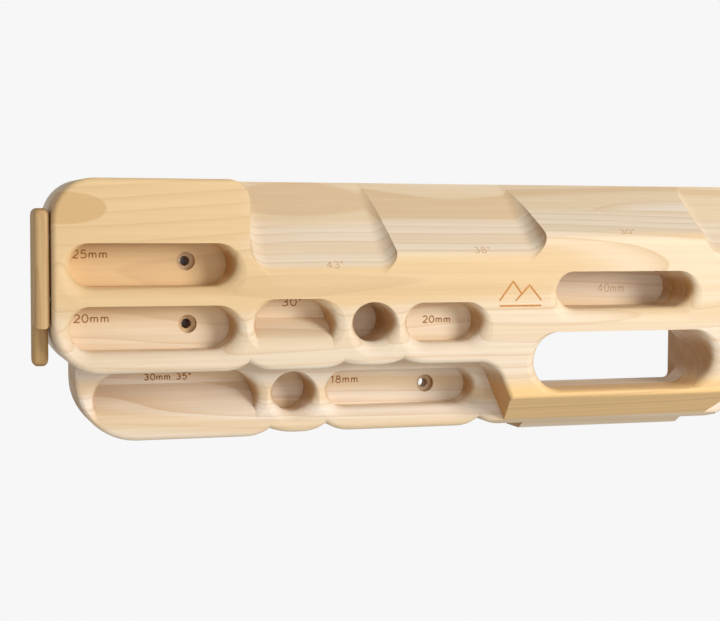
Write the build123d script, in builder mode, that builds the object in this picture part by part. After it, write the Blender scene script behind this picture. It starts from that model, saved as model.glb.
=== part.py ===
"""Wooden climbing hangboard: two glued laminations, machined holds, magnetic depth reducers.

Frame: millimetres, +Z up, the wall plane at Y = 0 and the front towards -Y.
X = 0 is the plane of symmetry, Z = 0 is half way up the board.
"""

from build123d import *
from math import cos, radians, sin, tan
import os

# --- board ---------------------------------------------------------------------------
board_length = 720.0
board_height = 158.0
back_thickness = 32.0       # lamination that lies against the wall
front_thickness = 28.0      # lamination with the upper row of holds
board_thickness = back_thickness + front_thickness
corner_radius_top = 24.0
corner_radius_low = 28.0
edge_round = 3.0            # rounding of the front faces' outer edges

top = board_height / 2
half = board_length / 2
front_y = -board_thickness
step_y = -back_thickness    # face of the rear tier, and the glue plane

# --- lower edges, measured down from the top of the board ------------------------------
front_low = 112.5           # under the end block
front_low_inner = 111.0     # under the inner pockets
rear_low = 155.6
rear_low_inner = 153.8
rear_end_inset = 15.5       # the rear tier's end stands in from the board's end
rear_end_radius = 37.0
notch_half_width = 15.0
bar_shoulder_x = 89.5       # where the front edge turns down to the jug bar
bar_shoulder_r = 16.0
bar_end_x = 69.0            # lower end of the bar
bar_corner_r = 14.0
bar_rear_x = 57.0           # the rear tier reaches down to the bar's underside from here

# Dips in the lower edges: (x, depth), and the x where the edge changes height.
front_dips = ((-245.5, 4.8), (-187.5, 3.6), (-149.5, 3.4))
front_change_x = -187.5
rear_dips = ((-226.0, 4.6), (-190.4, 4.8), (-88.7, 5.4))
rear_change_x = -226.0

# --- slopers ---------------------------------------------------------------------------
top_land = 3.0              # flat left along the top at the wall
sloper_angles = (43.0, 38.0, 30.0)
block_edge_x = 245.5        # inner side of the flat end block
sloper_edges_x = (block_edge_x, 152.0, 55.0)
sloper_corner = 12.0
sloper_lip = 10.0
block_corner = 14.0         # rounding of the block's top inner corner at the front
block_corner_end_y = -14.0  # where that rounding has faded out

# --- pockets: centre x, distance of the top edge under the board's top, length, height ---
lip_side = 7.0
lip_depth = 7.0
lip_low = 9.0

# --- jug ---------------------------------------------------------------------------------
jug_half_width = 62.0
jug_top = 93.0
jug_floor = 130.0
jug_front_depth = 44.0
jug_rear_corner = 4.0
jug_lip = 7.0
jug_lip_low = 2.0
bar_chamfer_start = 134.0
bar_chamfer_depth = 40.0

# --- mounting holes ------------------------------------------------------------------------
screw_hole_r = 3.0
counterbore_r = 5.5
counterbore_depth = 4.5
outer_hole_x = 278.8
upper_hole_drop = 48.3
lower_hole_drop = 85.5
inner_hole_x = 119.6
inner_hole_drop = 127.8

# --- magnetic depth reducers -----------------------------------------------------------------
reducer_length = 91.0
reducer_width = 24.8
reducer_thickness = 9.0
reducer_step_length = 22.5
reducer_step_depth = 10.0
reducer_round = 3.2
reducer_corner = 6.0
reducer_gap = 0.7           # air between the reducer and the board's end
reducer_top_drop = 17.5
reducer_setback = 3.0       # behind the board's front face
magnet_r = 5.0
magnet_length = 3.0
magnet_proud = 0.4          # how far the board's magnets stand out of its end
magnet_spacing = 36.0
magnet_clearance = 0.05     # around each magnet in its bore

os.makedirs("parts", exist_ok=True)


def front_plane(depth_y):
    """Sketch plane parallel to the wall, x to the right, y up, looking along +Y."""
    return Plane(origin=(0, depth_y, 0), x_dir=(1, 0, 0), z_dir=(0, -1, 0))


def drop(distance):
    """Height in the board's frame of a point a distance under the board's top."""
    return top - distance


reducer_front = front_y + reducer_setback
reducer_back = reducer_front + reducer_width
reducer_top = drop(reducer_top_drop)
wide_length = reducer_length - reducer_step_length
magnet_y = (reducer_front + reducer_back) / 2
magnet_middle = reducer_top - wide_length / 2
magnet_heights = {
    "lower": magnet_middle - magnet_spacing / 2,
    "upper": magnet_middle + magnet_spacing / 2,
}
bore_r = magnet_r + magnet_clearance
bore_depth = magnet_length - magnet_proud

# Pockets: (centre x, drop of the top edge, length, height, depth).
pockets_front = {
    "deep_four_finger": (-302.0, 37.3, 95.2, 25.3, 25.0),
    "mid_four_finger": (-301.6, 73.6, 96.0, 26.4, 20.0),
    "mono": (-168.5, 72.8, 24.5, 24.5, 36.0),
    "two_finger": (-122.5, 73.5, 48.0, 24.6, 20.0),
}
centre_pocket = (0.0, 55.2, 93.0, 23.4, 40.0)
pockets_rear = {
    "rear_mono": (-211.4, 116.3, 25.0, 25.0, 24.0),
    "rear_four_finger": (-141.1, 116.5, 95.8, 23.3, 18.0),
}
# Sloping pockets: the same five values, then the angle of the floor.
sloping_front = (-217.2, 70.4, 47.5, 25.0, 22.0, 30.0)
sloping_rear = (-283.4, 114.6, 97.7, 26.5, 24.6, 35.0)


def slot_shape(length, height):
    """A pocket outline: a stadium, or a circle when it is as long as high."""
    if length - height < 0.01:
        Circle(height / 2)
    else:
        SlotOverall(length, height)


def pocket_tool(face_y, centre_x, top_drop, length, height, depth, side, low, lip):
    """Solid that cuts one pocket: a straight-walled slot and a lip rounded low and at the ends.

    The lip keeps the pocket's crisp top edge: every section of it has its top on the same line.
    """
    high = drop(top_drop)
    flare = side if length > height else low / 2
    with BuildPart() as tool:
        with BuildSketch(front_plane(face_y)):
            with Locations((centre_x, high - height / 2)):
                slot_shape(length, height)
        extrude(amount=-depth)
        steps = 5
        for i in range(steps + 1):
            turn = radians(90 * i / steps)
            grow = 1 - sin(turn)
            sink = lip * (1 - cos(turn))
            tall = height + low * grow
            wide = length + 2 * flare * grow
            with BuildSketch(front_plane(face_y + sink)):
                with Locations((centre_x, high - tall / 2)):
                    slot_shape(wide, tall)
        loft()
    return tool.part



def sloping_pocket_tool(face_y, centre_x, top_drop, length, height, depth, angle):
    """Solid that cuts a pocket whose floor slopes down and outwards, with a rounded lip."""
    front_z = drop(top_drop) - height
    set_back = sloper_lip * tan(radians(90 - angle) / 2)
    lip_end = (
        face_y + set_back * cos(radians(angle)),
        front_z + set_back * sin(radians(angle)),
    )
    back = (face_y + depth + 2, front_z + (depth + 2) * tan(radians(angle)))
    below = front_z - 30
    with BuildPart() as tool:
        add(
            pocket_tool(
                face_y, centre_x, top_drop, length, height + 6, depth, lip_side, 1.0, lip_depth
            )
        )
        with BuildSketch(Plane.YZ.offset(centre_x - length)):
            with BuildLine():
                TangentArc((face_y, front_z - set_back), lip_end, tangent=(0, 1))
                Polyline(
                    lip_end, back, (back[0], below), (face_y, below), (face_y, front_z - set_back)
                )
            make_face()
        extrude(amount=2 * length, mode=Mode.SUBTRACT)
    return tool.part


def sloper_tool(angle, inner_x):
    """Solid above one sloper, from the end block to inner_x, with its front lip rounded."""
    back_y = -top_land
    front_z = top - (board_thickness - top_land) * tan(radians(angle))
    set_back = sloper_lip * tan(radians(90 - angle) / 2)
    arc_end = (
        front_y + set_back * cos(radians(angle)),
        front_z + set_back * sin(radians(angle)),
    )
    with BuildPart() as tool:
        with BuildSketch(Plane.YZ.offset(-block_edge_x)):
            with BuildLine():
                TangentArc((front_y, front_z - set_back), arc_end, tangent=(0, 1))
                Polyline(
                    arc_end,
                    (back_y, top),
                    (back_y + 20, top + 20 * tan(radians(angle))),
                    (front_y - 40, top + 20 * tan(radians(angle))),
                    (front_y - 40, front_z - set_back - 40),
                    (front_y, front_z - set_back - 40),
                    (front_y, front_z - set_back),
                )
            make_face()
        extrude(amount=block_edge_x - inner_x)
        wall_x = (-block_edge_x, -inner_x) if inner_x > 0 else (-block_edge_x,)
        roof_z = top + 19 * tan(radians(angle))
        floor_edges = tool.edges().filter_by(
            lambda e: any(abs(e.center().X - x) < 0.1 for x in wall_x)
            and front_y - 1 < e.center().Y < back_y + 25
            and e.center().Z < roof_z
        )
        fillet(floor_edges, sloper_corner)
    return tool.part


def block_corner_tool():
    """Solid that rounds the end block's top inner corner, less and less towards the wall."""
    with BuildPart() as tool:
        for y, radius in ((front_y - 2, block_corner), (block_corner_end_y, 0.8)):
            with BuildSketch(front_plane(y)):
                add(corner_void(radius))
        loft()
    return tool.part


def corner_void(radius):
    """Region above the arc that rounds the block's top inner corner."""
    with BuildSketch() as void:
        with BuildLine():
            left = (-block_edge_x - radius, top)
            right = (-block_edge_x, top - radius)
            TangentArc(left, right, tangent=(1, 0))
            Polyline(right, (-block_edge_x, top + 2), (-block_edge_x - radius, top + 2), left)
        make_face()
    return void.sketch_local


def notch(x, left_drop, right_drop, depth):
    """Void under one dip of a lower edge, between two arcs that leave the edge tangentially."""
    left = (x - notch_half_width, drop(left_drop))
    right = (x + notch_half_width, drop(right_drop))
    tip = (x, drop(max(left_drop, right_drop)) + depth)
    low = drop(max(left_drop, right_drop)) - 9
    with BuildSketch() as void:
        with BuildLine():
            TangentArc(left, tip, tangent=(1, 0))
            TangentArc(right, tip, tangent=(-1, 0))
            Polyline(left, (left[0], low), (right[0], low), right)
        make_face()
    return void.sketch_local
def disc(face_x, centre_z, radius, length):
    """Disc with its axis along X, from face_x over a signed length."""
    with BuildPart() as solid:
        with BuildSketch(Plane.YZ.offset(face_x)):
            with Locations((magnet_y, centre_z)):
                Circle(radius)
        extrude(amount=length)
    return solid.part


with BuildPart() as board:
    # Rear lamination: the full outline.
    with BuildSketch(front_plane(0)) as rear_outline:
        with Locations((-half / 2, drop(front_low / 2))):
            Rectangle(half, front_low)
        fillet(rear_outline.vertices().group_by(Axis.X)[0].sort_by(Axis.Y)[-1], corner_radius_top)
        fillet(rear_outline.vertices().group_by(Axis.X)[0].sort_by(Axis.Y)[0], corner_radius_low)
        for left_x, right_x, low_drop in (
            (rear_end_inset - half, rear_change_x, rear_low),
            (rear_change_x, -bar_rear_x, rear_low_inner),
            (-bar_rear_x, 0, board_height),
        ):
            with Locations(((left_x + right_x) / 2, drop(low_drop / 2 + 50))):
                Rectangle(right_x - left_x, low_drop - 100)
        lobe_corner = (rear_end_inset - half, drop(rear_low))
        fillet(rear_outline.vertices().sort_by_distance(lobe_corner)[0], rear_end_radius)
        for dip_x, dip_depth in rear_dips:
            left_drop = rear_low if dip_x <= rear_change_x else rear_low_inner
            add(notch(dip_x, left_drop, rear_low_inner, dip_depth), mode=Mode.SUBTRACT)
    extrude(amount=back_thickness)
    # Rounding of the rear tier's lower edges, before the front lamination covers the rest.
    low_edges = board.faces().sort_by(Axis.Y)[0].edges().filter_by(
        lambda e: e.center().X < -bar_rear_x - 0.1 and e.center().Z < drop(front_low) - 1
    )
    fillet(low_edges, edge_round)
    # Front lamination: the end block, the inner pockets and the jug bar.
    with BuildSketch(front_plane(step_y)) as front_outline:
        with Locations(((front_change_x - half) / 2, drop(front_low / 2))):
            Rectangle(half + front_change_x, front_low)
        with Locations((front_change_x / 2, drop(front_low_inner / 2))):
            Rectangle(-front_change_x, front_low_inner)
        with BuildLine():
            Polyline(
                (-bar_shoulder_x, drop(front_low_inner)),
                (-bar_end_x, -top),
                (0, -top),
                (0, drop(front_low_inner)),
                close=True,
            )
        make_face()
        for corner, radius in (
            ((-half, top), corner_radius_top),
            ((-half, drop(front_low)), corner_radius_low),
            ((-bar_shoulder_x, drop(front_low_inner)), bar_shoulder_r),
            ((-bar_end_x, -top), bar_corner_r),
        ):
            fillet(front_outline.vertices().sort_by_distance(corner)[0], radius)
        for dip_x, dip_depth in front_dips:
            left_drop = front_low if dip_x <= front_change_x else front_low_inner
            right_drop = front_low if dip_x < front_change_x else front_low_inner
            add(notch(dip_x, left_drop, right_drop, dip_depth), mode=Mode.SUBTRACT)
    extrude(amount=front_thickness)
    # Slopers, from the shallowest plane to the steepest.
    for angle, inner_x in zip(reversed(sloper_angles), (0.0, sloper_edges_x[2], sloper_edges_x[1])):
        add(sloper_tool(angle, inner_x), mode=Mode.SUBTRACT)
    # Pockets.
    for size in pockets_front.values():
        add(pocket_tool(front_y, *size, lip_side, lip_low, lip_depth), mode=Mode.SUBTRACT)
    for size in pockets_rear.values():
        add(pocket_tool(step_y, *size, lip_side, lip_low, lip_depth), mode=Mode.SUBTRACT)
    add(pocket_tool(front_y, *centre_pocket, lip_side, lip_low, lip_depth), mode=Mode.SUBTRACT)
    add(sloping_pocket_tool(front_y, *sloping_front), mode=Mode.SUBTRACT)
    add(sloping_pocket_tool(step_y, *sloping_rear), mode=Mode.SUBTRACT)
    # Jug: a long slot in front, a rectangle behind, open through the board.
    jug_height = jug_floor - jug_top
    add(
        pocket_tool(
            front_y,
            0,
            jug_top,
            2 * jug_half_width,
            jug_height,
            jug_front_depth,
            jug_lip,
            jug_lip_low,
            lip_depth,
        ),
        mode=Mode.SUBTRACT,
    )
    with BuildSketch(front_plane(front_y + jug_front_depth)):
        with Locations((0, drop((jug_top + jug_floor) / 2))):
            RectangleRounded(2 * jug_half_width, jug_height, jug_rear_corner)
    extrude(amount=-board_thickness, mode=Mode.SUBTRACT)
    # Chamfer under the jug bar.
    with BuildSketch(Plane.YZ.offset(-bar_end_x - 12)):
        with BuildLine():
            Polyline(
                (front_y, drop(bar_chamfer_start)),
                (front_y + bar_chamfer_depth, -top),
                (front_y + bar_chamfer_depth, -top - 5),
                (front_y - 5, -top - 5),
                (front_y - 5, drop(bar_chamfer_start)),
                close=True,
            )
        make_face()
    extrude(amount=bar_end_x + 12, mode=Mode.SUBTRACT)
    # Mounting holes.
    for hole_x, hole_drop, floor in (
        (outer_hole_x, upper_hole_drop, front_y + pockets_front["deep_four_finger"][4]),
        (outer_hole_x, lower_hole_drop, front_y + pockets_front["mid_four_finger"][4]),
        (inner_hole_x, inner_hole_drop, step_y + pockets_rear["rear_four_finger"][4]),
    ):
        with Locations(Location(Plane(origin=(-hole_x, floor, drop(hole_drop)), z_dir=(0, -1, 0)))):
            CounterBoreHole(screw_hole_r, counterbore_r, counterbore_depth, board_thickness)
    # Bores for the end's magnets.
    for centre_z in magnet_heights.values():
        add(disc(-half - 1, centre_z, bore_r, bore_depth + 1), mode=Mode.SUBTRACT)
    # Rounding of the front face's outer edges.
    front_face = board.faces().filter_by(Axis.Y).sort_by(Axis.Y)[0]
    outer_edges = front_face.outer_wire().edges().filter_by(
        lambda e: e.geom_type != GeomType.BSPLINE
        and e.center().X < -1
        and (e.center().X < -block_edge_x - 0.1 or e.center().Z < drop(105))
    )
    fillet(outer_edges, edge_round)
    add(block_corner_tool(), mode=Mode.SUBTRACT)
    mirror(about=Plane.YZ)

with BuildPart() as back_board:
    add(board.part)
    split(bisect_by=Plane.XZ.offset(-step_y), keep=Keep.BOTTOM)
with BuildPart() as front_board:
    add(board.part)
    split(bisect_by=Plane.XZ.offset(-step_y), keep=Keep.TOP)
back_board.part.label = "back_board"
export_step(back_board.part, "parts/back_board.step")
front_board.part.label = "front_board"
export_step(front_board.part, "parts/front_board.step")



for side, sign in (("left", -1), ("right", 1)):
    inner_x = sign * (half + reducer_gap)
    with BuildPart() as reducer:
        with BuildSketch(Plane.YZ.offset(inner_x)) as outline:
            with BuildLine():
                Polyline(
                    (reducer_front, reducer_top),
                    (reducer_back, reducer_top),
                    (reducer_back, reducer_top - reducer_length),
                    (reducer_front + reducer_step_depth, reducer_top - reducer_length),
                    (reducer_front + reducer_step_depth, reducer_top - wide_length),
                    (reducer_front, reducer_top - wide_length),
                    close=True,
                )
            make_face()
            ends = outline.vertices().group_by(Axis.Y)
            fillet(ends[0] + ends[-1], reducer_corner)
        extrude(amount=sign * reducer_thickness)
        flats = reducer.faces().filter_by(Axis.X)
        fillet(flats.edges(), reducer_round)
        for centre_z in magnet_heights.values():
            add(disc(inner_x, centre_z, bore_r, sign * magnet_length), mode=Mode.SUBTRACT)
    reducer.part.label = f"depth_reducer_{side}"
    export_step(reducer.part, f"parts/depth_reducer_{side}.step")

    for level, centre_z in magnet_heights.items():
        with BuildPart() as reducer_magnet:
            add(disc(inner_x, centre_z, magnet_r, sign * magnet_length))
        reducer_magnet.part.label = f"reducer_magnet_{side}_{level}"
        export_step(reducer_magnet.part, f"parts/reducer_magnet_{side}_{level}.step")

        with BuildPart() as end_magnet:
            add(disc(sign * (half - bore_depth), centre_z, magnet_r, sign * magnet_length))
        end_magnet.part.label = f"end_magnet_{side}_{level}"
        export_step(end_magnet.part, f"parts/end_magnet_{side}_{level}.step")
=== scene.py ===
"""Looks of a wooden climbing hangboard: solid wood, burnt-in depth marks, studio light and camera."""

import logging
import math
from dataclasses import dataclass
from enum import Enum

import bmesh
import bpy
import numpy as np
from mathutils import Matrix, Vector


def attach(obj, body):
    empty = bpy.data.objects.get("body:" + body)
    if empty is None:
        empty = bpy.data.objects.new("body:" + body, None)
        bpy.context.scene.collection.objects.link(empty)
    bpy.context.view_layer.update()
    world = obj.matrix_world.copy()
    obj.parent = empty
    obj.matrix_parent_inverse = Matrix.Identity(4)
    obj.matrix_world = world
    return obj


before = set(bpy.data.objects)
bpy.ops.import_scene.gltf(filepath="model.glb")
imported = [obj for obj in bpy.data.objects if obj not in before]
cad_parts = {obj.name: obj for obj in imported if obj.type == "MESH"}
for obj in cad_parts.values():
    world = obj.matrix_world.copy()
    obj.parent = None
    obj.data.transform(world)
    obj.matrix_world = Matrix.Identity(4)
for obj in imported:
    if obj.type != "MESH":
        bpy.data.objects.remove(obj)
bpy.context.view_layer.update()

log = logging.getLogger("hangboard")

Socket = bpy.types.NodeSocket
Colour = tuple[float, float, float]
Point = tuple[float, float, float]
# A patch of heartwood on the XZ plane: x, z, half width, half height and strength.
Patch = tuple[float, float, float, float, float]
# A change along one coordinate: where it starts and where it is complete.
Ramp = tuple[float, float]

# Shapes and patterns are worked out in millimetres; the scene is in metres.
MM = 0.001
BOARD_TOP = 79.0
FRONT_Y = -60.0

# Darker wood round the rims of the screw holes.
SCREW_CENTRES = ((278.8, 30.7), (278.8, -6.5), (119.6, -48.8))
SCREW_PATCH_RADIUS = 5.4
SCREW_PATCH_STRENGTH = 0.6
SCREW_PATCHES: tuple[Patch, ...] = tuple(
    (side * x, z, SCREW_PATCH_RADIUS, SCREW_PATCH_RADIUS, SCREW_PATCH_STRENGTH)
    for side in (-1, 1)
    for x, z in SCREW_CENTRES
)


class Side(Enum):
    """The two ends of the board."""

    LEFT = -1.0
    RIGHT = 1.0


# --- shader helpers ------------------------------------------------------------------


class Tree:
    """A node tree with short ways to add and wire nodes."""

    def __init__(self, tree: bpy.types.NodeTree) -> None:
        """Keeps the tree that nodes go into."""
        self.tree = tree

    def add(self, kind: str, **settings: object) -> bpy.types.Node:
        """Adds a node and sets its own properties.

        Args:
            kind: Blender's name of the node's type.
            settings: properties of the node, by name.

        Returns:
            The new node.
        """
        node = self.tree.nodes.new(kind)
        for name, value in settings.items():
            setattr(node, name, value)
        return node

    def put(self, socket: Socket, value: object) -> None:
        """Links a socket's value, or sets it when it is a plain number, vector or opaque colour."""
        if isinstance(value, Socket):
            self.tree.links.new(value, socket)
        elif socket.type == "RGBA":
            socket.default_value = (*value, 1.0)
        else:
            socket.default_value = value

    def put_all(self, node: bpy.types.Node, values: dict[str, object]) -> None:
        """Puts a value in each named input of a node."""
        for name, value in values.items():
            self.put(node.inputs[name], value)

    def split(self, vector: Socket) -> bpy.types.NodeOutputs:
        """The X, Y and Z of a vector."""
        node = self.add("ShaderNodeSeparateXYZ")
        self.put(node.inputs[0], vector)
        return node.outputs

    def maths(self, operation: str, a: object, b: object = 0.0, c: object = 0.0) -> Socket:
        """Result of a Math node on up to three values."""
        node = self.add("ShaderNodeMath", operation=operation)
        for socket, value in zip(node.inputs, (a, b, c)):
            self.put(socket, value)
        return node.outputs[0]

    def times(self, a: object, b: object) -> Socket:
        """Product of two values."""
        return self.maths("MULTIPLY", a, b)

    def plus(self, a: object, b: object) -> Socket:
        """Sum of two values."""
        return self.maths("ADD", a, b)

    def minus(self, a: object, b: object) -> Socket:
        """The first value less the second."""
        return self.maths("SUBTRACT", a, b)

    def length(self, a: object, b: object) -> Socket:
        """Root of the sum of the squares of two values."""
        return self.maths("SQRT", self.plus(self.times(a, a), self.times(b, b)))

    def vector(self, operation: str, a: object, b: object) -> Socket:
        """Result of a Vector Math node on two vectors."""
        node = self.add("ShaderNodeVectorMath", operation=operation)
        self.put(node.inputs[0], a)
        self.put(node.inputs[1], b)
        return node.outputs[0]

    def noise(
        self, vector: object, scale: object, detail: float = 2.0, rough: float = 0.5
    ) -> Socket:
        """Value of a noise of the given scale, about 0.5 in the middle."""
        node = self.add("ShaderNodeTexNoise")
        settings = {"Vector": vector, "Scale": scale, "Detail": detail, "Roughness": rough}
        self.put_all(node, settings)
        return node.outputs["Fac"]

    def span(self, value: object, ramp: Ramp, low: float = 0.0, high: float = 1.0) -> Socket:
        """Smooth step from low, where the value is at the ramp's start, to high at its end.

        The ramp's end may lie below its start.
        """
        node = self.add("ShaderNodeMapRange", interpolation_type="SMOOTHSTEP")
        limits = {"From Min": ramp[0], "From Max": ramp[1], "To Min": low, "To Max": high}
        self.put_all(node, {"Value": value, **limits})
        return node.outputs["Result"]

    def blend(self, factor: object, a: object, b: object, kind: str = "MIX") -> Socket:
        """Mixes two colours."""
        node = self.add("ShaderNodeMix", data_type="RGBA", blend_type=kind)
        self.put(node.inputs["Factor"], factor)
        self.put(node.inputs["A"], a)
        self.put(node.inputs["B"], b)
        return node.outputs["Result"]

    def bump(self, height: Socket, strength: float, distance: float) -> Socket:
        """Normal of a bump map, with its distance in metres."""
        node = self.add("ShaderNodeBump")
        self.put_all(node, {"Strength": strength, "Distance": distance, "Height": height})
        return node.outputs["Normal"]


def new_group(
    name: str, inputs: dict[str, tuple[str, object]], outputs: dict[str, str]
) -> tuple[bpy.types.NodeTree, bpy.types.Node, bpy.types.Node]:
    """Makes a shader node group with named sockets.

    Args:
        name: the group's name.
        inputs: socket name to its kind and default value.
        outputs: socket name to its kind.

    Returns:
        The group's tree, and its input and output nodes.
    """
    tree = bpy.data.node_groups.new(name, "ShaderNodeTree")
    for socket, (kind, value) in inputs.items():
        made = tree.interface.new_socket(name=socket, in_out="INPUT", socket_type=kind)
        if value is not None:
            made.default_value = value
    for socket, kind in outputs.items():
        tree.interface.new_socket(name=socket, in_out="OUTPUT", socket_type=kind)
    return tree, tree.nodes.new("NodeGroupInput"), tree.nodes.new("NodeGroupOutput")


# Growth rings. A noise's scale is per millimetre.
WANDER_SQUEEZE = (0.25, 1.0, 1.0)
WANDER_APART = (137.0, 51.0, 23.0)
WANDER_Y_SCALE = 0.012
WANDER_Z_SCALE = 0.011
WANDER_DETAIL = 1.5
END_BEND_X: Ramp = (190.0, 380.0)
RING_WARP = 9.0
RING_WARP_SCALE = 0.09
LATE_WOOD_POWER = 5.0
LATE_WOOD_EDGE: Ramp = (1.0, 0.965)
FAINTEST_RING = 0.25
RING_TONE_STEP = 0.37
BAND_OFFSET = 300.0
BAND_SCALE = 0.055

# Fibres and pores.
FIBRE_SQUEEZE = (0.012, 1.0, 1.0)
BROAD_FIBRE_SCALE = 0.35
FINE_FIBRE_SCALE = 1.7
BROAD_FIBRE_SHARE = 0.6
PORE_SQUEEZE = (0.09, 1.0, 1.0)
PORE_SCALE = 2.4
PORE_AT: Ramp = (0.66, 0.76)
PORE_DEPTH = 0.5

# Scorching.
COARSE_SCORCH_SCALE = 0.6
FINE_SCORCH_SCALE = 3.5
COARSE_SCORCH_SHARE = 0.6
SCORCH_AT: Ramp = (0.3, 0.7)


def rings_group() -> bpy.types.NodeTree:
    """Growth rings as cylinders round a tilted, wandering pith line.

    The distance from the pith over the ring width gives the ring's number and the place in it; the late wood
    is a narrow dark line at each ring's outer edge, and each ring has a tone of its own.
    """
    tree, start, end = new_group(
        "growth_rings",
        {
            "Vector": ("NodeSocketVector", None),
            "Pith Y": ("NodeSocketFloat", 0.0),
            "Pith Z": ("NodeSocketFloat", 0.0),
            "Tilt Y": ("NodeSocketFloat", 0.0),
            "Tilt Z": ("NodeSocketFloat", 0.0),
            "Ring Width": ("NodeSocketFloat", 4.0),
            "Wander": ("NodeSocketFloat", 6.0),
            "End Bend": ("NodeSocketFloat", 10.0),
        },
        {"Late Wood": "NodeSocketFloat", "Ring Tone": "NodeSocketFloat", "Band": "NodeSocketFloat"},
    )
    t = Tree(tree)
    given = start.outputs
    squeezed = t.vector("MULTIPLY", given["Vector"], WANDER_SQUEEZE)
    sway_y = t.noise(squeezed, WANDER_Y_SCALE, WANDER_DETAIL)
    sway_z = t.noise(t.vector("ADD", squeezed, WANDER_APART), WANDER_Z_SCALE, WANDER_DETAIL)
    wander_y = t.times(t.minus(sway_y, 0.5), given["Wander"])
    wander_z = t.times(t.minus(sway_z, 0.5), given["Wander"])
    x, y, z = t.split(given["Vector"])
    bend = t.times(t.span(t.maths("ABSOLUTE", x), END_BEND_X), given["End Bend"])
    off_y = t.plus(t.times(x, given["Tilt Y"]), t.plus(wander_y, bend))
    off_z = t.plus(t.times(x, given["Tilt Z"]), wander_z)
    radius = t.length(
        t.minus(t.plus(y, off_y), given["Pith Y"]), t.minus(t.plus(z, off_z), given["Pith Z"])
    )
    warped = t.plus(radius, t.times(t.noise(radius, RING_WARP_SCALE, 1.0), RING_WARP))
    turns = t.maths("DIVIDE", warped, given["Ring Width"])
    place = t.maths("FRACT", turns)
    number = t.maths("FLOOR", turns)
    late = t.times(t.maths("POWER", place, LATE_WOOD_POWER), t.span(place, LATE_WOOD_EDGE))
    white = t.add("ShaderNodeTexWhiteNoise", noise_dimensions="1D")
    t.put(white.inputs["W"], number)
    strength = t.maths("MULTIPLY_ADD", white.outputs["Value"], 1.0 - FAINTEST_RING, FAINTEST_RING)
    t.put(end.inputs["Late Wood"], t.times(late, strength))
    t.put(end.inputs["Ring Tone"], t.noise(t.times(number, RING_TONE_STEP), 1.0, 1.0))
    t.put(end.inputs["Band"], t.noise(t.plus(radius, BAND_OFFSET), BAND_SCALE, 0.5))
    return tree


def fibre_group() -> bpy.types.NodeTree:
    """Fine fibres and pores: noises drawn out along the grain, which is X."""
    tree, start, end = new_group(
        "wood_fibre",
        {"Vector": ("NodeSocketVector", None)},
        {"Streak": "NodeSocketFloat", "Pores": "NodeSocketFloat", "Height": "NodeSocketFloat"},
    )
    t = Tree(tree)
    place = start.outputs["Vector"]
    lay = t.vector("MULTIPLY", place, FIBRE_SQUEEZE)
    broad = t.noise(lay, BROAD_FIBRE_SCALE, 3.0, 0.55)
    fine = t.noise(lay, FINE_FIBRE_SCALE, 3.0, 0.6)
    pore_lay = t.vector("MULTIPLY", place, PORE_SQUEEZE)
    pore = t.span(t.noise(pore_lay, PORE_SCALE, 1.0), PORE_AT)
    fine_share = t.times(fine, 1.0 - BROAD_FIBRE_SHARE)
    t.put(end.inputs["Streak"], t.maths("MULTIPLY_ADD", broad, BROAD_FIBRE_SHARE, fine_share))
    t.put(end.inputs["Pores"], pore)
    t.put(end.inputs["Height"], t.minus(fine, t.times(pore, PORE_DEPTH)))
    return tree


def burn_group() -> bpy.types.NodeTree:
    """Scorching of a laser line: a grainy darkness between 0 and 1."""
    tree, start, end = new_group(
        "laser_scorch", {"Vector": ("NodeSocketVector", None)}, {"Scorch": "NodeSocketFloat"}
    )
    t = Tree(tree)
    coarse = t.noise(start.outputs["Vector"], COARSE_SCORCH_SCALE)
    fine = t.noise(start.outputs["Vector"], FINE_SCORCH_SCALE)
    fine_share = t.times(fine, 1.0 - COARSE_SCORCH_SHARE)
    grain = t.maths("MULTIPLY_ADD", coarse, COARSE_SCORCH_SHARE, fine_share)
    t.put(end.inputs["Scorch"], t.span(grain, SCORCH_AT))
    return tree


class SharedEffects:
    """The node groups that several finishes use, built once."""

    def __init__(self) -> None:
        """Builds the groups."""
        self.rings = rings_group()
        self.fibre = fibre_group()
        self.burn = burn_group()


@dataclass(frozen=True)
class Finish:
    """Base of every finish: a material with Object coordinates in millimetres."""

    name: str

    def open(self) -> tuple[bpy.types.Material, Tree, bpy.types.Node, Socket]:
        """Starts the material.

        Returns:
            The material, its tree, its Principled BSDF and the Object coordinates in millimetres.
        """
        material = bpy.data.materials.new(self.name)
        material.use_nodes = True
        t = Tree(material.node_tree)
        shader = next(n for n in t.tree.nodes if n.type == "BSDF_PRINCIPLED")
        place = t.add("ShaderNodeTexCoord").outputs["Object"]
        millimetres = t.vector("MULTIPLY", place, (1.0 / MM,) * 3)
        return material, t, shader, millimetres


# Where the wood's tone changes, in millimetres. It is golden by the ends, most of all high up, and along
# the bottom.
TONE_BAND: Ramp = (0.47, 0.6)
BAND_SHARE = 0.75
RING_TONE_SHARE = 0.35
GOLDEN_X: Ramp = (225.0, 262.0)
GOLDEN_Z: Ramp = (-14.0, 16.0)
GOLDEN_BELOW = 0.4
LOW_GOLD_Z: Ramp = (-40.0, -51.0)
LOW_GOLD: Colour = (0.93, 0.59, 0.23)

# The paler parts: the slopers' slopes between the end blocks, and the face low down.
SLOPES_Y: Ramp = (-60.5, -54.0)
SLOPES_Z: Ramp = (14.0, 30.0)
SLOPES_X: Ramp = (256.0, 248.0)
WASHED_LOW_Z: Ramp = (8.0, -16.0)

# Heartwood patches, with a ragged rim.
PATCH_RIM: Ramp = (1.3, 1.2)
PATCH_RAGGED = 0.5
PATCH_RAGGED_SCALE = 0.03

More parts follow.
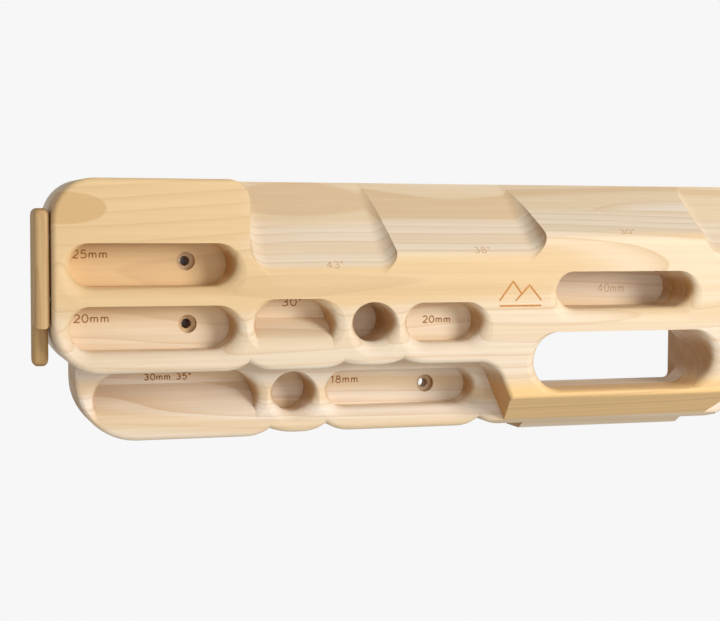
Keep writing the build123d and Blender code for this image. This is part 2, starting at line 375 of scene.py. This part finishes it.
# Grain.
LATE_WOOD_SHARE = 0.8
STREAK_AT: Ramp = (0.32, 0.68)
STREAK_SHARE = 0.3
PORE_SHARE = 0.22
# End grain is darker. This darkening also paints the shade on the pockets' end walls, and it stops short of
# the board's own ends.
END_GRAIN_AND_SHADE_TINT: Colour = (0.58, 0.38, 0.20)
END_GRAIN_AND_SHADE_FACING: Ramp = (0.6, 1.0)
END_GRAIN_AND_SHADE_X: Ramp = (350.0, 340.0)
WOOD_ROUGHNESS = 0.46
STREAK_ROUGHNESS = 0.18
LATE_WOOD_ROUGHNESS = -0.06
LATE_WOOD_HEIGHT = 0.7
WOOD_BUMP = 0.16
WOOD_SPECULAR = 0.35
GRAIN_BUMP_DISTANCE = 0.0002


@dataclass(frozen=True)
class SolidWood(Finish):
    """Pale poplar cut from the solid: rings, tone bands, heartwood, fibre and pores."""

    groups: SharedEffects
    pale: Colour
    warm: Colour
    late: Colour
    heart: Colour
    sapwood: Colour
    pith_y: float
    pith_z: float
    tilt_y: float = 0.02
    tilt_z: float = -0.03
    ring_width: float = 4.2
    wander: float = 26.0
    end_bend: float = 10.0
    heart_patches: tuple[Patch, ...] = ()
    golden_ends: float = 0.0
    low_gold: float = 0.0
    washed_slopes: float = 0.0
    turned: bool = False
    # How dark the end grain and the painted shade on the pockets' end walls get.
    end_grain_and_shade_darkness: float = 0.85

    def make(self) -> bpy.types.Material:
        """Builds the material and returns it."""
        material, t, shader, place = self.open()
        if self.turned:
            place = self.upright(t, place)
        rings = t.add("ShaderNodeGroup", node_tree=self.groups.rings)
        settings = {
            "Vector": place,
            "Pith Y": self.pith_y,
            "Pith Z": self.pith_z,
            "Tilt Y": self.tilt_y,
            "Tilt Z": self.tilt_z,
            "Ring Width": self.ring_width,
            "Wander": self.wander,
            "End Bend": self.end_bend,
        }
        t.put_all(rings, settings)
        fibre = t.add("ShaderNodeGroup", node_tree=self.groups.fibre)
        t.put(fibre.inputs["Vector"], place)
        late_wood, streak = rings.outputs["Late Wood"], fibre.outputs["Streak"]
        x, y, z = t.split(place)
        colour = self.tones(t, rings.outputs, (x, y, z))
        for patch in self.heart_patches:
            colour = t.blend(self.in_patch(t, place, x, z, patch), colour, self.heart)
        colour = t.blend(t.times(late_wood, LATE_WOOD_SHARE), colour, self.late)
        colour = t.blend(t.span(streak, STREAK_AT, 0.0, STREAK_SHARE), colour, self.late)
        colour = t.blend(t.times(fibre.outputs["Pores"], PORE_SHARE), colour, self.heart)
        # Darker end grain, with painted shade on the end walls inside the pockets.
        colour = t.blend(self.end_grain_and_shade(t, x), colour, END_GRAIN_AND_SHADE_TINT, "MULTIPLY")
        rough = t.maths("MULTIPLY_ADD", streak, STREAK_ROUGHNESS, WOOD_ROUGHNESS)
        height = t.plus(fibre.outputs["Height"], t.times(late_wood, LATE_WOOD_HEIGHT))
        looks = {
            "Base Color": colour,
            "Roughness": t.plus(rough, t.times(late_wood, LATE_WOOD_ROUGHNESS)),
            "Normal": t.bump(height, WOOD_BUMP, GRAIN_BUMP_DISTANCE),
            "Specular IOR Level": WOOD_SPECULAR,
        }
        t.put_all(shader, looks)
        return material

    def upright(self, t: Tree, place: Socket) -> Socket:
        """The coordinates with X and Z exchanged, for a piece whose grain stands upright."""
        x, y, z = t.split(place)
        join = t.add("ShaderNodeCombineXYZ")
        t.put_all(join, {"X": z, "Y": y, "Z": x})
        return join.outputs[0]

    def tones(
        self, t: Tree, rings: bpy.types.NodeOutputs, at: tuple[Socket, Socket, Socket]
    ) -> Socket:
        """Colour of the plain wood: pale and warm bands, golden parts and paler parts."""
        x, y, z = at
        across = t.maths("ABSOLUTE", x)
        band = t.span(rings["Band"], TONE_BAND)
        tone = t.maths(
            "MULTIPLY_ADD", band, BAND_SHARE, t.times(rings["Ring Tone"], RING_TONE_SHARE)
        )
        if self.golden_ends:
            ends = t.span(across, GOLDEN_X, 0.0, self.golden_ends)
            tone = t.plus(tone, t.times(ends, t.span(z, GOLDEN_Z, GOLDEN_BELOW, 1.0)))
        colour = t.blend(t.maths("MINIMUM", tone, 1.0), self.pale, self.warm)
        if self.washed_slopes:
            slopes = t.times(t.span(y, SLOPES_Y), t.span(z, SLOPES_Z))
            slopes = t.times(slopes, t.span(across, SLOPES_X))
            washed = t.maths("MAXIMUM", slopes, t.span(z, WASHED_LOW_Z))
            colour = t.blend(t.times(washed, self.washed_slopes), colour, self.sapwood)
        if self.low_gold:
            colour = t.blend(t.span(z, LOW_GOLD_Z, 0.0, self.low_gold), colour, LOW_GOLD)
        return colour

    def in_patch(self, t: Tree, place: Socket, x: Socket, z: Socket, patch: Patch) -> Socket:
        """How far a place is in a patch of heartwood, from 0 to the patch's strength.

        The reach is 1 on the ellipse with the patch's half width and height. A noise makes its rim ragged.
        """
        centre_x, centre_z, half_x, half_z, strength = patch
        dx = t.maths("DIVIDE", t.minus(x, centre_x), half_x)
        dz = t.maths("DIVIDE", t.minus(z, centre_z), half_z)
        ragged = t.times(t.noise(place, PATCH_RAGGED_SCALE), PATCH_RAGGED)
        return t.times(t.span(t.plus(t.length(dx, dz), ragged), PATCH_RIM), strength)

    def end_grain_and_shade(self, t: Tree, x: Socket) -> Socket:
        """Darkness of the end grain, with painted shade on the pockets' end walls, which leaves out the
        board's own ends.
        """
        facing = t.split(t.add("ShaderNodeTexCoord").outputs["Normal"])
        square = t.maths("ABSOLUTE", facing["Z" if self.turned else "X"])
        dark = t.span(square, END_GRAIN_AND_SHADE_FACING, 0.0, self.end_grain_and_shade_darkness)
        return t.times(dark, t.span(t.maths("ABSOLUTE", x), END_GRAIN_AND_SHADE_X))


@dataclass(frozen=True)
class BurntLine(Finish):
    """Wood scorched by an engraving laser."""

    groups: SharedEffects
    light: Colour
    dark: Colour

    def make(self) -> bpy.types.Material:
        """Builds the material and returns it."""
        material, t, shader, place = self.open()
        burn = t.add("ShaderNodeGroup", node_tree=self.groups.burn)
        t.put(burn.inputs["Vector"], place)
        scorch = burn.outputs["Scorch"]
        looks = {
            "Base Color": t.blend(scorch, self.light, self.dark),
            "Roughness": t.maths("MULTIPLY_ADD", scorch, 0.15, 0.75),
            "Normal": t.bump(scorch, 0.3, GRAIN_BUMP_DISTANCE),
            "Specular IOR Level": 0.2,
        }
        t.put_all(shader, looks)
        return material


@dataclass(frozen=True)
class NickelPlate(Finish):
    """Plated magnet discs with handling scuffs."""

    dull: Colour = (0.62, 0.61, 0.58)
    bright: Colour = (0.8, 0.79, 0.77)

    def make(self) -> bpy.types.Material:
        """Builds the material and returns it."""
        material, t, shader, place = self.open()
        scuff = t.noise(place, 0.8, 4.0, 0.65)
        looks = {
            "Base Color": t.blend(scuff, self.dull, self.bright),
            "Roughness": t.span(scuff, (0.35, 0.7), 0.18, 0.36),
            "Normal": t.bump(scuff, 0.1, 0.0001),
            "Metallic": 1.0,
        }
        t.put_all(shader, looks)
        return material


# --- engraved marks ------------------------------------------------------------------

PATH_STEPS = 8
GAP = 0.18  # between two figures, for a height of 1


def arc(
    cx: float, cy: float, rx: float, ry: float, start: float, stop: float, count: int = 15
) -> np.ndarray:
    """Points of an elliptic arc: centre plus radii times cosine and sine of the angle.

    Args:
        cx: centre, across.
        cy: centre, up.
        rx: radius across.
        ry: radius up.
        start: first angle in degrees.
        stop: last angle in degrees.
        count: number of points.

    Returns:
        An array of shape (count, 2).
    """
    turn = np.radians(np.linspace(start, stop, count))
    return np.stack([cx + rx * np.cos(turn), cy + ry * np.sin(turn)], axis=1)


def path(*points: tuple[float, float]) -> np.ndarray:
    """Points of straight runs, with PATH_STEPS a run so that they can follow a curved face."""
    corners = np.array(points, float)
    runs = len(points) - 1
    steps = np.linspace(0, runs, PATH_STEPS * runs + 1)
    axes = [np.interp(steps, np.arange(len(points)), corners[:, i]) for i in (0, 1)]
    return np.stack(axes, axis=1)


def joined(*lines: np.ndarray) -> np.ndarray:
    """One stroke from several lines, end to end."""
    return np.concatenate(lines)


# Each figure's width and strokes, for a height of 1.
GLYPHS: dict[str, tuple[float, tuple[np.ndarray, ...]]] = {
    "0": (0.66, (arc(0.31, 0.5, 0.29, 0.48, 90, 450, 25),)),
    "1": (0.42, (path((0.05, 0.8), (0.26, 0.98), (0.26, 0.02)),)),
    "2": (
        0.64,
        (
            joined(
                arc(0.3, 0.7, 0.27, 0.28, 160, -35), path((0.52, 0.53), (0.04, 0.02), (0.6, 0.02))
            ),
        ),
    ),
    "3": (0.64, (arc(0.27, 0.74, 0.24, 0.24, 150, -90), arc(0.27, 0.27, 0.29, 0.26, 90, -150))),
    "4": (0.68, (path((0.46, 0.02), (0.46, 0.98), (0.02, 0.28), (0.62, 0.28)),)),
    "5": (
        0.64,
        (
            joined(
                path((0.54, 0.98), (0.12, 0.98), (0.07, 0.56)),
                arc(0.27, 0.32, 0.3, 0.31, 125, -145),
            ),
        ),
    ),
    "8": (
        0.66,
        (arc(0.3, 0.75, 0.22, 0.23, 90, 450, 19), arc(0.3, 0.27, 0.28, 0.26, 90, 450, 19)),
    ),
    "m": (
        0.86,
        (
            path((0.04, 0.02), (0.04, 0.64)),
            joined(arc(0.21, 0.45, 0.17, 0.18, 180, 0, 11), path((0.38, 0.42), (0.38, 0.02))),
            joined(arc(0.55, 0.45, 0.17, 0.18, 180, 0, 11), path((0.72, 0.42), (0.72, 0.02))),
        ),
    ),
    "°": (0.34, (arc(0.15, 0.86, 0.11, 0.11, 90, 450, 13),)),
    " ": (0.4, ()),
}


class FlatFace:
    """A wall-parallel face: across is X, up is Z, outwards is -Y."""

    def __init__(self, x: float, y: float, z: float) -> None:
        """Keeps the place of the lettering's middle, in millimetres."""
        self.origin = np.array([x, y, z])

    def place(self, flat: np.ndarray) -> tuple[np.ndarray, np.ndarray]:
        """Points and outward normals of a drawing on this face.

        Args:
            flat: points of shape (n, 2), in millimetres from the middle.

        Returns:
            Points and normals, each of shape (n, 3).
        """
        points = np.stack([flat[:, 0], np.zeros(len(flat)), flat[:, 1]], axis=1) + self.origin
        return points, np.broadcast_to(np.array([0.0, -1.0, 0.0]), points.shape)


class SloperLip:
    """The rounded lip of a sloper.

    Upwards, a drawing follows the profile's length round the lip and on up the slope. The radius is the
    lip's, and the land is the level strip behind the top of the slope.
    """

    radius = 10.0
    land = 3.0

    def __init__(self, x: float, angle: float) -> None:
        """Keeps the middle's x and the slope's angle in degrees; the middle is where the slope starts."""
        self.x = x
        self.angle = math.radians(angle)

    def place(self, flat: np.ndarray) -> tuple[np.ndarray, np.ndarray]:
        """Points and outward normals of a drawing on the lip.

        The profile is the slope's straight line for positive lengths, and for negative lengths the arc that
        turns from the slope to the vertical front.

        Args:
            flat: points of shape (n, 2), in millimetres from the middle.

        Returns:
            Points and normals, each of shape (n, 3).
        """
        run = -FRONT_Y - self.land
        front_z = BOARD_TOP - run * math.tan(self.angle)
        back = self.radius * math.tan((math.pi / 2 - self.angle) / 2)
        end_y = FRONT_Y + back * math.cos(self.angle)
        end_z = front_z + back * math.sin(self.angle)
        length = flat[:, 1]
        turn = np.clip(-length / self.radius, 0.0, math.pi / 2 - self.angle)
        up = np.maximum(length, 0.0)
        lean = self.angle + turn
        centre_y = end_y + self.radius * math.sin(self.angle)
        centre_z = end_z - self.radius * math.cos(self.angle)
        ny, nz = -np.sin(lean), np.cos(lean)
        below = np.minimum(length + self.radius * (math.pi / 2 - self.angle), 0.0)
        y = centre_y + self.radius * ny + up * math.cos(self.angle)
        z = centre_z + self.radius * nz + up * math.sin(self.angle) + below
        points = np.stack([self.x + flat[:, 0], y, z], axis=1)
        return points, np.stack([np.zeros(len(flat)), ny, nz], axis=1)


@dataclass
class Mark:
    """A drawing of burnt lines on a face of the board."""

    name: str
    strokes: list[np.ndarray]
    face: FlatFace | SloperLip
    width: float = 0.72
    proud: float = 0.04
    sunk: float = 0.12

    def strip(self, stroke: np.ndarray) -> tuple[np.ndarray, np.ndarray]:
        """A closed strip of rectangular section carried along a stroke.

        Each point gets four corners: half the width to either side, and the proud and sunk heights along the
        face's normal. Each ring of four is joined to the next by quads, and a quad closes either end.

        Args:
            stroke: points of shape (n, 2).

        Returns:
            Vertices of shape (4n, 3) and quads of shape (4(n - 1) + 2, 4).
        """
        step = np.gradient(stroke, axis=0)
        step /= np.linalg.norm(step, axis=1, keepdims=True) + 1e-9
        side = np.stack([-step[:, 1], step[:, 0]], axis=1) * self.width / 2
        left, normal = self.face.place(stroke + side)
        right, _ = self.face.place(stroke - side)
        rings = np.stack(
            [
                left + normal * self.proud,
                right + normal * self.proud,
                right - normal * self.sunk,
                left - normal * self.sunk,
            ],
            axis=1,
        )
        count = len(stroke)
        base = (4 * np.arange(count - 1))[:, None]
        corner = np.arange(4)[None, :]
        after = (corner + 1) % 4
        around = [base + corner, base + after, base + 4 + after, base + 4 + corner]
        quads = np.stack(around, axis=2).reshape(-1, 4)
        ends = np.array([[3, 2, 1, 0], 4 * (count - 1) + np.arange(4)])
        return rings.reshape(-1, 3), np.concatenate([quads, ends])

    def build(self, material: bpy.types.Material) -> bpy.types.Object:
        """Makes the mark's mesh, rides it on the board and returns the object."""
        points, faces, count = [], [], 0
        for stroke in self.strokes:
            vertices, quads = self.strip(stroke)
            points.append(vertices)
            faces.append(quads + count)
            count += len(vertices)
        mesh = bpy.data.meshes.new(self.name)
        mesh.from_pydata((np.concatenate(points) * MM).tolist(), [], np.concatenate(faces).tolist())
        mesh.update()
        mesh.materials.append(material)
        mark = bpy.data.objects.new(self.name, mesh)
        bpy.context.scene.collection.objects.link(mark)
        recalculate(mark)
        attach(mark, "board")
        return mark


def recalculate(piece: bpy.types.Object) -> None:
    """Turns a closed mesh's faces outwards."""
    work = bmesh.new()
    work.from_mesh(piece.data)
    bmesh.ops.recalc_face_normals(work, faces=work.faces)
    work.to_mesh(piece.data)
    work.free()


def lettering(text: str, height: float, stretch: float = 1.0) -> list[np.ndarray]:
    """Strokes of a line of figures, centred on the origin.

    Args:
        text: figures, the letter m, degree signs and blanks.
        height: height of a figure in millimetres.
        stretch: how much wider than its own shape each figure is drawn.

    Returns:
        One array of points per stroke.
    """
    advance, strokes = 0.0, []
    for letter in text:
        wide, shapes = GLYPHS[letter]
        strokes += [shape + np.array([advance, 0.0]) for shape in shapes]
        advance += wide + GAP
    middle = np.array([(advance - GAP) / 2, 0.5])
    return [(stroke - middle) * np.array([height * stretch, height]) for stroke in strokes]


@dataclass
class EngravedMarks:
    """Every burnt-in mark: pocket depths, sloper angles and a plain mark of two peaks."""

    burnt: bpy.types.Material
    faint: bpy.types.Material
    golden: bpy.types.Material
    figure_height: float = 5.4
    figure_stretch: float = 1.24
    depths: tuple[tuple[str, str, float, float, float, float], ...] = (
        # name, text, x on the left half, drop below the top, depth behind the front, figure height
        ("depth_25", "25mm", -335.4, 44.0, 25.0, 4.7),
        ("depth_20", "20mm", -335.4, 81.4, 20.0, 4.7),
        ("depth_two_finger", "20mm", -121.5, 85.0, 20.0, 4.2),
        ("angle_pocket", "30°", -214.2, 73.2, 22.0, 5.0),
        ("depth_rear_slope", "30mm 35°", -285.0, 119.9, 52.6, 3.7),
        ("depth_rear", "18mm", -173.6, 123.8, 46.0, 4.4),
    )
    slopers: tuple[tuple[str, str, float, float], ...] = (
        ("angle_43", "43°", -192.4, 43.0),
        ("angle_38", "38°", -97.6, 38.0),
    )
    sloper_width: float = 0.45
    centre_width: float = 0.4

    def build(self) -> list[bpy.types.Object]:
        """Builds every mark on both halves and returns the pieces."""
        made = []
        for side in Side:
            for name, text, x, down, depth, tall in self.depths:
                face = FlatFace(-side.value * x, FRONT_Y + depth, BOARD_TOP - down)
                strokes = lettering(text, tall, self.figure_stretch)
                made.append(Mark(f"{name}_{side.name.lower()}", strokes, face).build(self.burnt))
            for name, text, x, angle in self.slopers:
                lip = SloperLip(-side.value * x, angle)
                made.append(self.sloper(f"{name}_{side.name.lower()}", text, lip))
        made.append(self.sloper("angle_30", "30°", SloperLip(2.0, 30.0)))
        floor = FlatFace(8.4, FRONT_Y + 40.0, BOARD_TOP - 67.5)
        strokes = lettering("40mm", self.figure_height)
        made.append(Mark("depth_centre", strokes, floor, width=self.centre_width).build(self.faint))
        made.append(self.peaks().build(self.golden))
        return made

    def sloper(self, name: str, text: str, lip: SloperLip) -> bpy.types.Object:
        """Builds the angle figure on a sloper's lip and returns the piece."""
        strokes = lettering(text, self.figure_height)
        return Mark(name, strokes, lip, width=self.sloper_width).build(self.faint)

    def peaks(self) -> Mark:
        """A plain mark: two peaks over a level line."""
        strokes = [
            path((-14.0, -5.0), (-5.0, 7.0), (0.5, -0.4)),
            path((-3.2, -5.0), (6.0, 4.6), (14.0, -5.0)),
            path((-14.0, -8.2), (14.0, -8.2)),
        ]
        face = FlatFace(-73.5, FRONT_Y, BOARD_TOP - 68.0)
        return Mark("plain_mark", strokes, face, width=1.05)


# --- the board and its reducers --------------------------------------------------------


@dataclass
class Board:
    """The two laminations and the magnets in their ends."""

    groups: SharedEffects
    front_pale: Colour = (0.85, 0.70, 0.51)
    front_warm: Colour = (0.78, 0.55, 0.29)
    rear_pale: Colour = (0.86, 0.76, 0.65)
    rear_warm: Colour = (0.78, 0.61, 0.40)
    late: Colour = (0.62, 0.40, 0.20)
    heart: Colour = (0.60, 0.37, 0.15)
    sapwood: Colour = (0.80, 0.72, 0.62)
    # The dark top left corner, a weaker patch at the right end and a faint stripe across the middle.
    patches: tuple[Patch, ...] = (
        (-354.0, 61.5, 26.0, 9.5, 0.7),
        (356.0, 36.0, 40.0, 12.0, 0.4),
        (-70.0, 13.0, 230.0, 3.4, 0.16),
    )

    def dress(self) -> None:
        """Gives both laminations their wood."""
        front = SolidWood(
            "front_poplar",
            self.groups,
            self.front_pale,
            self.front_warm,
            self.late,
            self.heart,
            self.sapwood,
            pith_y=-98.0,
            pith_z=26.0,
            golden_ends=0.85,
            low_gold=0.9,
            washed_slopes=0.5,
            ring_width=6.5,
            heart_patches=(*self.patches, *SCREW_PATCHES),
        ).make()
        rear = SolidWood(
            "rear_poplar",
            self.groups,
            self.rear_pale,
            self.rear_warm,
            self.late,
            self.heart,
            self.sapwood,
            pith_y=-70.0,
            pith_z=120.0,
            tilt_z=0.02,
            ring_width=7.5,
            heart_patches=SCREW_PATCHES,
        ).make()
        wear("front_board", front)
        wear("back_board", rear)
        plate = NickelPlate("nickel_plate").make()
        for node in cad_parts:
            if "magnet" in node:
                wear(node, plate)


@dataclass
class Reducers:
    """The magnetic depth reducers, with the grain upright."""

    groups: SharedEffects
    pale: Colour = (0.64, 0.43, 0.21)
    warm: Colour = (0.56, 0.35, 0.14)
    late: Colour = (0.36, 0.19, 0.06)
    heart: Colour = (0.34, 0.18, 0.05)

    def dress(self) -> None:
        """Gives both reducers their wood."""
        wood = SolidWood(
            "reducer_poplar",
            self.groups,
            self.pale,
            self.warm,
            self.late,
            self.heart,
            sapwood=self.pale,
            pith_y=-160.0,
            pith_z=-420.0,
            ring_width=3.4,
            turned=True,
        ).make()
        for side in Side:
            wear(f"depth_reducer_{side.name.lower()}", wood)


def wear(node: str, material: bpy.types.Material) -> None:
    """Puts a material on every slot of a CAD node."""
    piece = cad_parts[node]
    if not piece.material_slots:
        piece.data.materials.append(material)
    for slot in piece.material_slots:
        slot.material = material


# --- studio ------------------------------------------------------------------------------


@dataclass
class Studio:
    """A pale sweep, soft lights and the camera."""

    camera_at: Point = (-0.45135, -0.93699, 0.05502)
    yaw: float = 17.32
    pitch: float = 3.35
    roll: float = 0.23
    lens: float = 76.635
    backdrop_tone: float = 0.92
    bounce: float = 0.5
    world_strength: float = 0.1
    sweep_half: float = 30.0
    sweep_height: float = 9.0
    # name, place, the point it looks at, side, watts and tint
    lamps: tuple[tuple[str, Point, Point, float, float, Colour], ...] = (
        ("key", (1.15, -1.7, 0.55), (0.0, -0.03, 0.0), 0.9, 40.5, (1.0, 0.985, 0.955)),
        ("fill", (-0.1, -2.2, 0.1), (-0.1, -0.03, 0.0), 1.0, 6.5, (0.97, 0.985, 1.0)),
        ("side", (-1.6, -0.9, 0.3), (-0.3, -0.03, 0.0), 1.0, 3.6, (1.0, 0.97, 0.92)),
        ("top", (0.2, -0.4, 1.6), (0.0, -0.03, 0.0), 1.2, 6.5, (0.93, 0.97, 1.0)),
    )

    def build(self) -> None:
        """Builds the sweep, the lights, the world and the camera."""
        self.sweep()
        for lamp in self.lamps:
            self.lamp(*lamp)
        world = bpy.data.worlds.new("studio")
        world.use_nodes = True
        background = world.node_tree.nodes["Background"]
        settings = {"Color": (1.0, 1.0, 1.0), "Strength": self.world_strength}
        Tree(world.node_tree).put_all(background, settings)
        bpy.context.scene.world = world
        bpy.context.scene.view_settings.view_transform = "Standard"
        self.camera()

    def sweep(self) -> None:
        """Adds a floor that curves up into a backdrop.

        The profile is the floor's straight run, a quarter circle and the backdrop's straight rise, drawn out
        along X. It glows evenly: backdrop_tone is what the camera sees of it, and bounce what it sheds.
        """
        turn = np.linspace(-math.pi / 2, 0.0, 17)
        radius, floor, wall = 1.2, -0.75, 3.2
        run = np.array([[-self.sweep_half, floor]])
        curve_y = wall - radius + radius * np.cos(turn)
        curve_z = floor + radius + radius * np.sin(turn)
        rise = np.array([[wall, self.sweep_height]])
        profile = np.concatenate([run, np.stack([curve_y, curve_z], axis=1), rise])
        across = np.array([-self.sweep_half, self.sweep_half])
        grid = np.stack(
            [
                np.repeat(across[:, None], len(profile), axis=1),
                np.broadcast_to(profile[:, 0], (2, len(profile))),
                np.broadcast_to(profile[:, 1], (2, len(profile))),
            ],
            axis=2,
        )
        count = len(profile)
        near = np.arange(count - 1)
        quads = np.stack([near, near + count, near + count + 1, near + 1], axis=1)
        mesh = bpy.data.meshes.new("sweep")
        mesh.from_pydata(grid.reshape(-1, 3).tolist(), [], quads.tolist())
        mesh.polygons.foreach_set("use_smooth", np.ones(len(quads), bool))
        material = bpy.data.materials.new("sweep_paper")
        material.use_nodes = True
        shader = next(n for n in material.node_tree.nodes if n.type == "BSDF_PRINCIPLED")
        t = Tree(material.node_tree)
        seen = t.add("ShaderNodeLightPath").outputs["Is Camera Ray"]
        looks = {
            "Base Color": (0.02, 0.02, 0.02),
            "Roughness": 1.0,
            "Specular IOR Level": 0.0,
            "Emission Color": (1.0, 1.0, 1.0),
            "Emission Strength": t.maths(
                "MULTIPLY_ADD", seen, self.backdrop_tone - self.bounce, self.bounce
            ),
        }
        t.put_all(shader, looks)
        mesh.materials.append(material)
        floor_piece = bpy.data.objects.new("sweep", mesh)
        bpy.context.scene.collection.objects.link(floor_piece)

    def lamp(
        self, name: str, at: Point, towards: Point, size: float, power: float, tint: Colour
    ) -> None:
        """Adds a square area lamp that looks at a point."""
        light = bpy.data.lights.new(name, "AREA")
        light.size = size
        light.energy = power
        light.color = tint
        lamp = bpy.data.objects.new(name, light)
        bpy.context.scene.collection.objects.link(lamp)
        lamp.location = at
        lamp.rotation_euler = (Vector(towards) - Vector(at)).to_track_quat("-Z", "Y").to_euler()

    def camera(self) -> None:
        """Adds the camera: yaw towards +X, pitch down, then a small roll."""
        yaw, pitch, roll = (math.radians(a) for a in (self.yaw, self.pitch, self.roll))
        level = math.cos(pitch)
        forward = Vector((math.sin(yaw) * level, math.cos(yaw) * level, -math.sin(pitch)))
        right = Vector((math.cos(yaw), -math.sin(yaw), 0.0))
        up = right.cross(forward)
        turned_right = math.cos(roll) * right + math.sin(roll) * up
        turned_up = -math.sin(roll) * right + math.cos(roll) * up
        data = bpy.data.cameras.new("camera")
        data.lens = self.lens
        data.sensor_width = 36.0
        data.clip_end = 50.0
        camera = bpy.data.objects.new("camera", data)
        bpy.context.scene.collection.objects.link(camera)
        camera.matrix_world = Matrix(
            (
                (turned_right.x, turned_up.x, -forward.x, self.camera_at[0]),
                (turned_right.y, turned_up.y, -forward.y, self.camera_at[1]),
                (turned_right.z, turned_up.z, -forward.z, self.camera_at[2]),
                (0.0, 0.0, 0.0, 1.0),
            )
        )
        bpy.context.scene.camera = camera


def main() -> None:
    """Dresses the board, adds its marks and builds the studio."""
    logging.basicConfig(level=logging.INFO, format="%(name)s: %(message)s")
    groups = SharedEffects()
    Board(groups).dress()
    Reducers(groups).dress()
    log.info("dressed %d nodes", len(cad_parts))
    burnt = BurntLine("burnt_line", groups, (0.44, 0.20, 0.06), (0.28, 0.11, 0.022))
    faint = BurntLine("faint_burnt_line", groups, (0.62, 0.38, 0.18), (0.45, 0.24, 0.10))
    golden = BurntLine("golden_line", groups, (0.66, 0.30, 0.08), (0.50, 0.19, 0.04))
    marks = EngravedMarks(burnt.make(), faint.make(), golden.make())
    for piece in marks.build():
        log.info("mark %s", piece.name)
    Studio().build()


if __name__ == "__main__":
    main()
